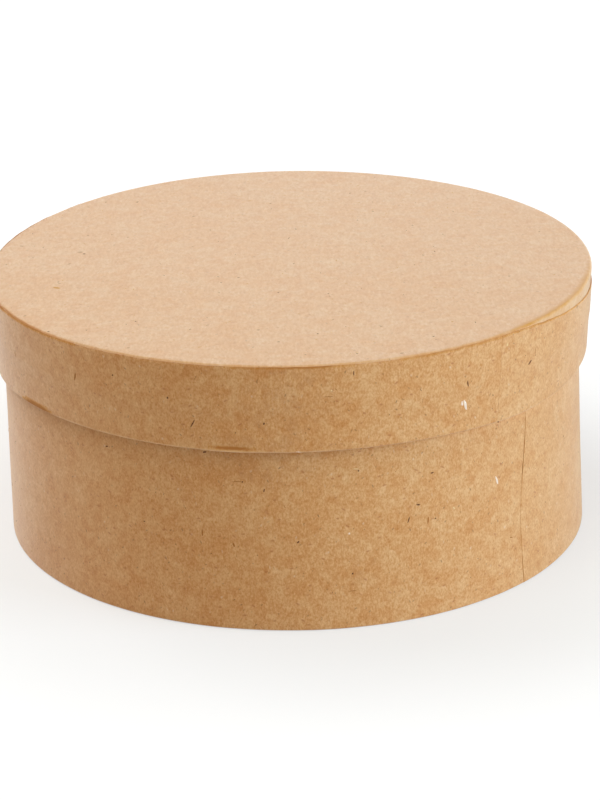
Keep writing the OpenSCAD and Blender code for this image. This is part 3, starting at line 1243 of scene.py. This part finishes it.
            # Painted highlight on the lower fold, partly pale wear.
            along = (1 - smooth(2, 14, a)) * smooth(-54, -48, a) * 0.66
            lip = bump_at(degrees_apart(v["a"], -10), 0, 5.5) * 0.15
            return bump_at(v["z"], foot + 0.15 * MM, 0.3 * MM) * (along + lip) * (v["r"] > s.rim_out)

        skin = Skin(self.shape, 37, ((22 * MM, 0.08 * MM), (7 * MM, 0.03 * MM), (2 * MM, 0.012 * MM)),
                    lift=lift, trim=trim, stain_and_shade=stain_and_shade, rub_and_highlight=rub_and_highlight)
        self.shop.fit(make_mesh("rim_wrap_paper", shells, skin), WRAP, Body.LID, Slot.WRAP, "rim_wrap")
        return skin

    def linings(self) -> None:
        """Makes the rim's inner strip and the disc inside the lid."""
        s, w = self.shop.sizes, self.work
        corner, over_hem = s.rim_in - s.paper, s.rim_hem_in - s.paper
        hem_z = s.rim_foot - s.paper + w.hem
        roof = s.lid_under - s.paper
        tips = corner - s.paper
        foot = s.rim_foot - s.paper + w.reveal
        face = run([(tips, roof, 0), (corner, roof, 0.15 * MM), (corner, hem_z + w.climb, 3 * MM),
                    (over_hem, hem_z, 3 * MM), (over_hem, foot, 0)], 1.0 * MM)
        strip = Strip(corner, self.lining_seam, w.lap, s.paper, 1.0 * MM,
                      lambda z: np.sin(z / (8 * MM)) * 0.3 * MM, 0.8)
        section = Section.of(face, s.paper, -1, w.tab)
        shells = Shells()
        shells.strip(section, strip.azimuths(section))
        tabs(shells, run([(tips, roof, 0), (s.rim_in - w.tab, roof, 0)], 1.5 * MM), s.paper, 1, w.tab_count,
             w.notch, 0.0, 8)
        skin = Skin(self.shape, 41, ((20 * MM, 0.05 * MM), (6 * MM, 0.02 * MM)),
                    lift=lambda v: strip.over(v) * (v["r"] > tips + 0.05 * MM) * smooth(roof, roof - 0.6 * MM, v["z"]),
                    stain_and_shade=lambda v: np.exp(-np.abs(strip.from_cut(v)) / (0.25 * MM)) * 0.6
                    + bump_at(v["z"], foot, 0.3 * MM) * 0.35)
        self.shop.fit(make_mesh("rim_lining_paper", shells, skin), LINING, Body.LID, Slot.LINING, "rim_lining")

        hem = s.rim_in - w.tab
        face = run([(0, roof, 0), (hem - w.climb, roof, 3 * MM), (hem, roof - s.paper, 3 * MM),
                    (over_hem, roof - s.paper, 0)], 0.9 * MM)
        shells = Shells()
        shells.disc(Section.of(face, s.paper, -1), 720, 0.5 * MM)
        skin = Skin(self.shape, 43, ((30 * MM, 0.04 * MM),), flat=True,
                    stain_and_shade=lambda v: bump_at(v["r"], over_hem, 0.4 * MM) * 0.4)
        self.shop.fit(make_mesh("lid_lining_paper", shells, skin), LINING, Body.LID, Slot.LINING, "lid_lining")

    def boards(self) -> None:
        """Makes the rolled rim and the top board again, to the hand-made shape."""
        s = self.shop.sizes
        gap = 0.15 * MM / s.rim_out
        start = math.radians(self.butt)
        face = run([(s.rim_out, s.rim_foot, 0), (s.rim_out, s.lid_under, 0), (s.rim_in, s.lid_under, 0),
                    (s.rim_in, s.rim_foot, 0)], 4 * MM)
        ring(self.shop, "rim_board_ply", face, self.shape, start + gap, start + TURN - gap, Body.LID, "rim_board")
        panel(self.shop, "lid_board_ply", s.rim_out, s.lid_under, s.lid_top, self.edge, self.shape, Body.LID,
              "lid_board")

    def build(self) -> tuple[Skin, Skin]:
        """Makes every piece of the lid.

        Returns:
            The skins of the cover and of the rim's wrap, on which marks are laid.
        """
        cover = self.cover()
        rim = self.rim()
        self.linings()
        self.boards()
        return cover, rim


@dataclass(frozen=True)
class Mark:
    """One fibre bundle or chip in the surface of a sheet, in millimetres and degrees.

    Attributes:
        across: Azimuth on a strip, or x on a disc.
        up: Height on a strip, or y on a disc.
        length: Its length.
        width: Its width.
        lean: How far it leans to the right on a strip, or its turn from x on a disc.
    """

    across: float
    up: float
    length: float
    width: float
    lean: float


@dataclass
class Speckling:
    """The marks of one sheet: those that a photograph shows, and seeded ones all over it.

    Attributes:
        sheet: The sheet's short name.
        skin: The sheet's skin, which the marks follow.
        body: The body that it rides on.
        slot: The record's material slot.
        placed: The marks in known places, by finish.
        reach: Lowest and highest place of a seeded mark, in millimetres.
        count: Number of seeded marks.
        seed: Which random marks.
        profile: Radius of a strip's face at each height; None for a disc.
        level: Height of a disc's face.
    """

    sheet: str
    skin: Skin
    body: Body
    slot: Slot
    placed: dict[str, tuple[Mark, ...]]
    reach: tuple[float, float]
    count: int
    seed: int
    profile: Callable[[np.ndarray], np.ndarray] | None = None
    level: float = 0.0
    front: float = 62
    corners: int = 9

    def on_sheet(self, across: np.ndarray, up: np.ndarray, off: np.ndarray) -> np.ndarray:
        """Puts points on the sheet.

        Args:
            across: Azimuths in radians, or x on a disc.
            up: Heights, or y on a disc.
            off: How far each stands off the face.

        Returns:
            Points, one row each.
        """
        one, none = np.ones(len(up)), np.zeros(len(up))
        if self.profile is None:
            v = {"a": np.arctan2(across, -up), "r": np.hypot(across, up), "z": one * self.level,
                 "nr": none, "nz": one, "face": one, "s": none}
        else:
            v = {"a": across, "r": self.profile(up), "z": up, "nr": one, "nz": none, "face": one, "s": none}
        v["r"], v["z"] = v["r"] + v["nr"] * off, v["z"] + v["nz"] * off
        return self.skin.points(v)

    def seeded(self) -> dict[str, list[Mark]]:
        """Draws the marks that lie all over the sheet, smaller where the known ones are."""
        rng = random.Random(self.seed)
        warm = "amber_fibres" if self.profile is None else "rust_fibres"
        out: dict[str, list[Mark]] = {"shives": [], warm: [], "pale_fibres": []}
        for _ in range(self.count):
            kind = rng.choices(list(out), (34, 46, 20))[0]
            size = min(rng.lognormvariate(-0.45, 0.42), 1.7)
            wide = rng.uniform(0.15, 0.28)
            if self.profile is None:
                r, a = self.reach[1] * math.sqrt(rng.random()), rng.random() * TURN
                across, up, lean, near = r * math.sin(a), -r * math.cos(a), rng.uniform(0, 180), False
            else:
                across, up, lean = rng.uniform(-180, 180), rng.uniform(*self.reach), rng.gauss(0, 38)
                near = abs(across) < self.front
            small = 0.62 if near else 1.0
            out[kind].append(Mark(across, up, size * small, wide * small, lean))
        return out

    def build(self, shop: Workshop) -> None:
        """Makes one piece of each finish.

        Args:
            shop: The workshop.
        """
        finishes = {"shives": SHIVE, "rust_fibres": RUST, "amber_fibres": AMBER, "pale_fibres": STRAW,
                    "pale_chips": CHIP}
        marks = self.seeded()
        for kind, known in self.placed.items():
            marks.setdefault(kind, []).extend(known)
        for kind, some in marks.items():
            rng = random.Random(self.seed + len(kind))
            piece = finished(self.mesh(some, rng), f"{self.sheet}_{kind}")
            shop.fit(piece, finishes[kind], self.body, self.slot)

    def mesh(self, marks: Sequence[Mark], rng: random.Random) -> bpy.types.Mesh:
        """Makes small crowned leaves, sunk a little into the sheet.

        Args:
            marks: The marks.
            rng: What makes each one uneven.

        Returns:
            The mesh.
        """
        n = self.corners
        across, up, off, faces = [], [], [], []
        for mark in marks:
            base = len(up)
            lean = math.radians(mark.lean if self.profile is None else 90 - mark.lean)
            ends = [rng.uniform(0.75, 1.12) for _ in range(n)]
            crown = (0.012 + 0.045 * mark.width) * MM
            for size, high in ((1.0, -0.02 * MM), (0.72, crown), (0.0, crown * 1.3)):
                for k in range(n if size else 1):
                    t = TURN * k / n
                    x = math.cos(t) * mark.length / 2 * ends[k] * size
                    y = math.sin(t) * mark.width / 2 * ends[k] * size
                    u = (x * math.cos(lean) - y * math.sin(lean)) * MM
                    w = (x * math.sin(lean) + y * math.cos(lean)) * MM
                    if self.profile is None:
                        across.append(mark.across * MM + u)
                    else:
                        across.append(math.radians(mark.across) + u / self.skin.shape.radius)
                    up.append(mark.up * MM + w)
                    off.append(high)
            ring, top = base + n, base + 2 * n
            for k in range(n):
                j = (k + 1) % n
                faces += [(base + k, base + j, ring + j, ring + k), (ring + k, ring + j, top)]
            faces.append(tuple(base + k for k in reversed(range(n))))
        points = self.on_sheet(np.array(across), np.array(up), np.array(off))
        mesh = bpy.data.meshes.new(self.sheet)
        mesh.from_pydata(points.tolist(), [], faces)
        return mesh


def marks(*rows: tuple[float, float, float, float, float]) -> tuple[Mark, ...]:
    """Makes marks from their rows of numbers, in the order of Mark's fields."""
    return tuple(Mark(*row) for row in rows)


WALL_MARKS = {
    "shives": marks(
        (-17, 46, 1, 0.5, 80), (-10, 39, 0.45, 0.4, 0), (-6, 37, 0.9, 0.35, 15), (0, 23.5, 0.8, 0.4, 40),
        (10, 14.5, 0.55, 0.5, 0), (11.5, 41, 0.5, 0.4, 0), (26, 37.5, 0.9, 0.4, 80), (23, 30, 1.1, 0.45, -84),
        (21, 26.5, 1.9, 0.3, 20), (26.5, 25.5, 0.45, 0.4, 0), (-38, 43, 0.9, 0.4, 70), (-30, 25.5, 0.5, 0.35, 80)),
    "rust_fibres": marks(
        (-11, 39, 2.3, 0.2, 84), (-12, 22.5, 1.3, 0.5, -20), (-18, 25, 1.9, 0.4, 0), (10, 10, 2.1, 0.25, 87),
        (25, 25.5, 2, 0.4, 8), (44.5, 14, 1.2, 0.3, -72)),
    "pale_chips": marks((9.5, 25, 0.55, 0.5, 0), (41, 30.5, 2.5, 0.6, -20)),
    "pale_fibres": marks((11, 41.5, 1.75, 0.28, -84), (30.5, 27, 0.9, 0.6, -54)),
}
RIM_MARKS = {
    "shives": marks(
        (-18.5, 54, 2.9, 0.35, 28), (48, 59.5, 1.9, 0.6, 57), (32.5, 59.5, 1.7, 0.35, -11), (40, 47.5, 0.5, 0.45, 0),
        (-34, 63.5, 0.45, 0.4, 0), (-23, 60, 0.6, 0.45, 0), (-5.5, 55, 0.6, 0.45, 20), (10.5, 67, 1.3, 0.3, 0),
        (66, 68.4, 1.1, 0.35, 15)),
    "rust_fibres": marks((6, 61.5, 2.2, 0.22, -88), (49.5, 62, 2.4, 0.2, -5), (-43, 60.5, 2.7, 0.5, 15)),
    "pale_chips": marks((32.1, 54.2, 3.1, 0.85, -15), (31.4, 54.7, 1.3, 0.6, -10), (0.5, 47.7, 1.3, 0.2, -84)),
    "pale_fibres": marks((6.5, 63, 0.6, 0.5, 0), (41.5, 66.5, 0.9, 0.7, 0)),
}
LID_MARKS = {
    "shives": marks((-58.5, -48.5, 0.7, 0.4, 12), (-38, -43, 0.5, 0.45, 12), (33.5, -59, 0.65, 0.4, 20),
                    (6, -55.5, 0.6, 0.4, 20), (-53.5, 9, 1, 0.5, 20)),
    "amber_fibres": marks((-58.5, -17, 2.2, 1, -20), (-28.5, -57, 0.7, 0.4, 17), (38.5, -49, 0.7, 0.45, 19)),
    "pale_fibres": marks((-25, -23.5, 1, 0.45, 20),),
}


@dataclass
class Studio:
    """The floor, the lamps and the camera.

    Attributes:
        stand: The camera's distance in front of the box and height over the floor, in metres.
        aim: The camera's turn to the right, its tilt down and its roll, in radians.
        focal: Focal length in pixels of a frame 600 wide and 800 high.
    """

    stand: tuple[float, float] = (0.740, 0.3223)
    aim: tuple[float, float, float] = (0.00194, 0.3753, -0.0242)
    focal: float = 3041.3
    frame_height: int = 800
    sensor: float = 36.0

    def camera(self) -> None:
        """Sets the camera where the photograph was taken from."""
        turn, tilt, roll = self.aim
        ahead = Vector((math.sin(turn) * math.cos(tilt), math.cos(turn) * math.cos(tilt), -math.sin(tilt)))
        right = Vector((math.cos(turn), -math.sin(turn), 0))
        up = right.cross(ahead)
        x = right * math.cos(roll) + up * math.sin(roll)
        y = up * math.cos(roll) - right * math.sin(roll)
        data = bpy.data.cameras.new("camera")
        data.sensor_width = self.sensor
        data.lens = self.focal * self.sensor / self.frame_height
        data.clip_start, data.clip_end = 0.05, 20
        camera = bpy.data.objects.new("camera", data)
        camera.matrix_world = Matrix((x, y, -ahead)).transposed().to_4x4()
        camera.location = (0, -self.stand[0], self.stand[1])
        bpy.context.scene.collection.objects.link(camera)
        bpy.context.scene.camera = camera

    def floor(self) -> None:
        """Lays a pale floor that keeps the box's shadow and shows almost white, with its glow dimmer near the box as a
        painted shade round it.
        """
        mesh = bpy.data.meshes.new("floor")
        n, reach = 24, 3.0
        places = [(-reach + 2 * reach * i / n, -reach + 2 * reach * j / n, 0) for j in range(n + 1) for i in range(n + 1)]
        quads = [(j * (n + 1) + i, j * (n + 1) + i + 1, (j + 1) * (n + 1) + i + 1, (j + 1) * (n + 1) + i)
                 for j in range(n) for i in range(n)]
        mesh.from_pydata(places, [], quads)
        floor = bpy.data.objects.new("floor", mesh)
        bpy.context.scene.collection.objects.link(floor)
        r = Recipe("pale_floor")
        tree = r.tree
        rays = r.node("ShaderNodeLightPath").outputs
        seen = r.sum(rays["Is Camera Ray"], rays["Is Glossy Ray"], rays["Is Transmission Ray"])
        bounce = r.node("ShaderNodeBsdfDiffuse", {0: linear("#d6d3d0")})
        keep = r.node("ShaderNodeBsdfDiffuse", {0: (0.34, 0.335, 0.33, 1)})
        place = r.node("ShaderNodeTexCoord").outputs["Object"]
        away = r.node("ShaderNodeVectorMath", {0: place}, operation="LENGTH").outputs["Value"]
        # Painted shade: the glow is dimmer near the box and brightens away from it.
        glow_with_painted_shade = r.node("ShaderNodeMapRange", {0: away, 1: 0.07, 2: 0.16, 3: 0.575, 4: 0.73},
                          interpolation_type="SMOOTHSTEP").outputs[0]
        glow = r.node("ShaderNodeEmission", {0: (1.0, 0.995, 0.99, 1), 1: glow_with_painted_shade})
        shown = r.node("ShaderNodeAddShader", {0: keep.outputs[0], 1: glow.outputs[0]})
        mix = r.node("ShaderNodeMixShader", {0: seen, 1: bounce.outputs[0], 2: shown.outputs[0]})
        tree.nodes.remove(r.shader)
        tree.links.new(mix.outputs[0], tree.nodes["Material Output"].inputs["Surface"])
        mesh.materials.append(r.material)

    def lamp(self, name: str, azimuth: float, elevation: float, distance: float, size: float, power: float,
             colour: tuple[float, float, float]) -> None:
        """Hangs a soft lamp that faces the box.

        Args:
            name: Its name.
            azimuth: Degrees from the front, growing to the right.
            elevation: Degrees above the floor.
            distance: Metres from the box.
            size: Side of its square face in metres.
            power: Watts.
            colour: Its linear colour.
        """
        data = bpy.data.lights.new(name, "AREA")
        data.energy, data.size, data.color = power, size, colour
        lamp = bpy.data.objects.new(name, data)
        a, e = math.radians(azimuth), math.radians(elevation)
        away = Vector((math.sin(a) * math.cos(e), -math.cos(a) * math.cos(e), math.sin(e)))
        lamp.location = away * distance + Vector((0, 0, 0.035))
        lamp.rotation_euler = away.to_track_quat("Z", "Y").to_euler()
        lamp.visible_camera = False
        bpy.context.scene.collection.objects.link(lamp)

    def lamps(self) -> None:
        """Lights the box from the right, from behind the left and from above."""
        self.lamp("window", 70, 15, 1.2, 0.7, 12.6, (0.80, 1.0, 1.19))
        self.lamp("overhead", -20, 72, 1.2, 0.5, 3.4, (1.02, 1.0, 0.86))
        self.lamp("left_back", -118, 45, 1.2, 0.8, 6.3, (0.94, 1.0, 1.07))
        self.lamp("left_front", -35, 45, 1.2, 0.6, 1.6, (1.21, 1.0, 0.84))
        self.lamp("back", 180, 15, 1.2, 0.6, 2.2, (1.07, 1.0, 1.01))
        self.lamp("right_edge", 145, 6, 1.2, 0.25, 2.2, (1.02, 1.0, 0.92))
        self.lamp("left_edge", -145, 6, 1.2, 0.25, 2.6, (1.02, 1.0, 0.92))
        world = bpy.data.worlds.new("studio")
        bpy.context.scene.world = world
        world.use_nodes = True
        tree = world.node_tree
        back = tree.nodes["Background"]
        back.inputs[0].default_value = (0.96, 1.0, 0.87, 1)
        back.inputs[1].default_value = 0.19

    def build(self) -> None:
        """Makes the camera, the floor and the lamps."""
        self.camera()
        self.floor()
        self.lamps()
        bpy.context.scene.view_settings.view_transform = "Standard"


def main() -> None:
    """Builds the studio, the box and the lid."""
    logging.basicConfig(level=logging.INFO, format="%(name)s %(message)s")
    Studio().build()
    shop = Workshop()
    work = PaperWork()
    wall = Box(shop, work).build()
    cover, rim = Lid(shop, work).build()
    s = shop.sizes
    outside = wall.shape.radius
    over, waist = rim.shape.radius, s.cover_edge
    Speckling("wall", wall, Body.BOX, Slot.WRAP, WALL_MARKS, (1.5, 65), 330, 5,
              profile=lambda z: np.full(len(z), outside)).build(shop)
    Speckling("rim", rim, Body.LID, Slot.WRAP, RIM_MARKS, (48.6, 67.5), 110, 6,
              profile=lambda z: np.interp(z, (waist - work.climb, waist + 1 * MM), (over - s.paper, over))).build(shop)
    Speckling("lid", cover, Body.LID, Slot.PANEL, LID_MARKS, (0, 75), 260, 7,
              level=s.lid_top + s.paper).build(shop)


if __name__ == "__main__":
    main()
